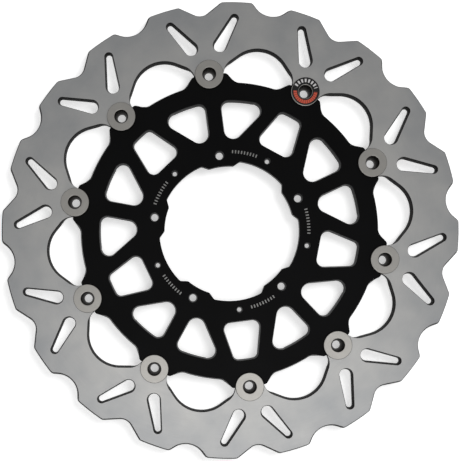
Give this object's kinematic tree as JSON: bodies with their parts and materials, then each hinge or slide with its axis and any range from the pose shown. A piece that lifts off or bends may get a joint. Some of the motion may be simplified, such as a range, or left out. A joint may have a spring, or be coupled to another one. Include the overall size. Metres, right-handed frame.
{
  "type": "motorcycle brake disc rotor",
  "caption": "Floating motorcycle brake disc: a wavy slotted steel ring hung by bobbins on a black windowed carrier with hub bolt holes.",
  "frame": {"origin": "on the axis of rotation, at the lowest plane of the disc, the tail ends of the bobbins", "axes": "+Z is the axis of rotation and points out of the side with the bobbin heads; +Y points at one of the five bolt holes"},
  "size_m": [0.3186, 0.3184, 0.0104],
  "materials": {
    "ring_steel": "ground satin",
    "carrier_black": "black anodised",
    "bobbin_steel": "turned",
    "spring_steel": "spring steel",
    "washer_steel": "bright",
    "circlip_black": "phosphated",
    "marker_black": "printed"
  },
  "bodies": {
    "carrier": {"carrier": "carrier_black"},
    "ring": {"brake_ring": "ring_steel"},
    "bobbin_set_01": {"bobbin_01": "bobbin_steel", "wave_washer_01": "spring_steel", "flat_washer_01": "washer_steel", "circlip_01": "circlip_black"},
    "bobbin_set_02": {"bobbin_02": "bobbin_steel", "wave_washer_02": "spring_steel", "flat_washer_02": "washer_steel", "circlip_02": "circlip_black"},
    "bobbin_set_03": {"bobbin_03": "bobbin_steel", "wave_washer_03": "spring_steel", "flat_washer_03": "washer_steel", "circlip_03": "circlip_black"},
    "bobbin_set_04": {"bobbin_04": "bobbin_steel", "wave_washer_04": "spring_steel", "flat_washer_04": "washer_steel", "circlip_04": "circlip_black"},
    "bobbin_set_05": {"bobbin_05": "bobbin_steel", "wave_washer_05": "spring_steel", "flat_washer_05": "washer_steel", "circlip_05": "circlip_black"},
    "bobbin_set_06": {"bobbin_06": "bobbin_steel", "wave_washer_06": "spring_steel", "flat_washer_06": "washer_steel", "circlip_06": "circlip_black"},
    "bobbin_set_07": {"bobbin_07": "bobbin_steel", "wave_washer_07": "spring_steel", "flat_washer_07": "washer_steel", "circlip_07": "circlip_black"},
    "bobbin_set_08": {"bobbin_08": "bobbin_steel", "wave_washer_08": "spring_steel", "flat_washer_08": "washer_steel", "circlip_08": "circlip_black"},
    "bobbin_set_09": {"bobbin_09": "bobbin_steel", "wave_washer_09": "spring_steel", "flat_washer_09": "washer_steel", "circlip_09": "circlip_black"},
    "bobbin_set_10": {"bobbin_10": "bobbin_steel", "wave_washer_10": "spring_steel", "flat_washer_10": "washer_steel", "circlip_10": "circlip_black", "marker_ring": "marker_black"}
  },
  "joints": [
    {"name": "ring_float", "type": "slide", "parent": "carrier", "child": "ring", "axis": [0, 0, 1], "range_m": [-0.00015, 0.00015]},
    {"name": "bobbin_turn_01", "type": "hinge", "parent": "carrier", "child": "bobbin_set_01", "pos_m": [0, 0.1104, 0.006], "axis": [0, 0, 1], "continuous": true},
    {"name": "bobbin_turn_02", "type": "hinge", "parent": "carrier", "child": "bobbin_set_02", "pos_m": [-0.06489, 0.08932, 0.006], "axis": [0, 0, 1], "continuous": true},
    {"name": "bobbin_turn_03", "type": "hinge", "parent": "carrier", "child": "bobbin_set_03", "pos_m": [-0.105, 0.03411, 0.006], "axis": [0, 0, 1], "continuous": true},
    {"name": "bobbin_turn_04", "type": "hinge", "parent": "carrier", "child": "bobbin_set_04", "pos_m": [-0.105, -0.03411, 0.006], "axis": [0, 0, 1], "continuous": true},
    {"name": "bobbin_turn_05", "type": "hinge", "parent": "carrier", "child": "bobbin_set_05", "pos_m": [-0.06489, -0.08932, 0.006], "axis": [0, 0, 1], "continuous": true},
    {"name": "bobbin_turn_06", "type": "hinge", "parent": "carrier", "child": "bobbin_set_06", "pos_m": [0, -0.1104, 0.006], "axis": [0, 0, 1], "continuous": true},
    {"name": "bobbin_turn_07", "type": "hinge", "parent": "carrier", "child": "bobbin_set_07", "pos_m": [0.06489, -0.08932, 0.006], "axis": [0, 0, 1], "continuous": true},
    {"name": "bobbin_turn_08", "type": "hinge", "parent": "carrier", "child": "bobbin_set_08", "pos_m": [0.105, -0.03411, 0.006], "axis": [0, 0, 1], "continuous": true},
    {"name": "bobbin_turn_09", "type": "hinge", "parent": "carrier", "child": "bobbin_set_09", "pos_m": [0.105, 0.03411, 0.006], "axis": [0, 0, 1], "continuous": true},
    {"name": "bobbin_turn_10", "type": "hinge", "parent": "carrier", "child": "bobbin_set_10", "pos_m": [0.06489, 0.08932, 0.006], "axis": [0, 0, 1], "continuous": true}
  ]
}
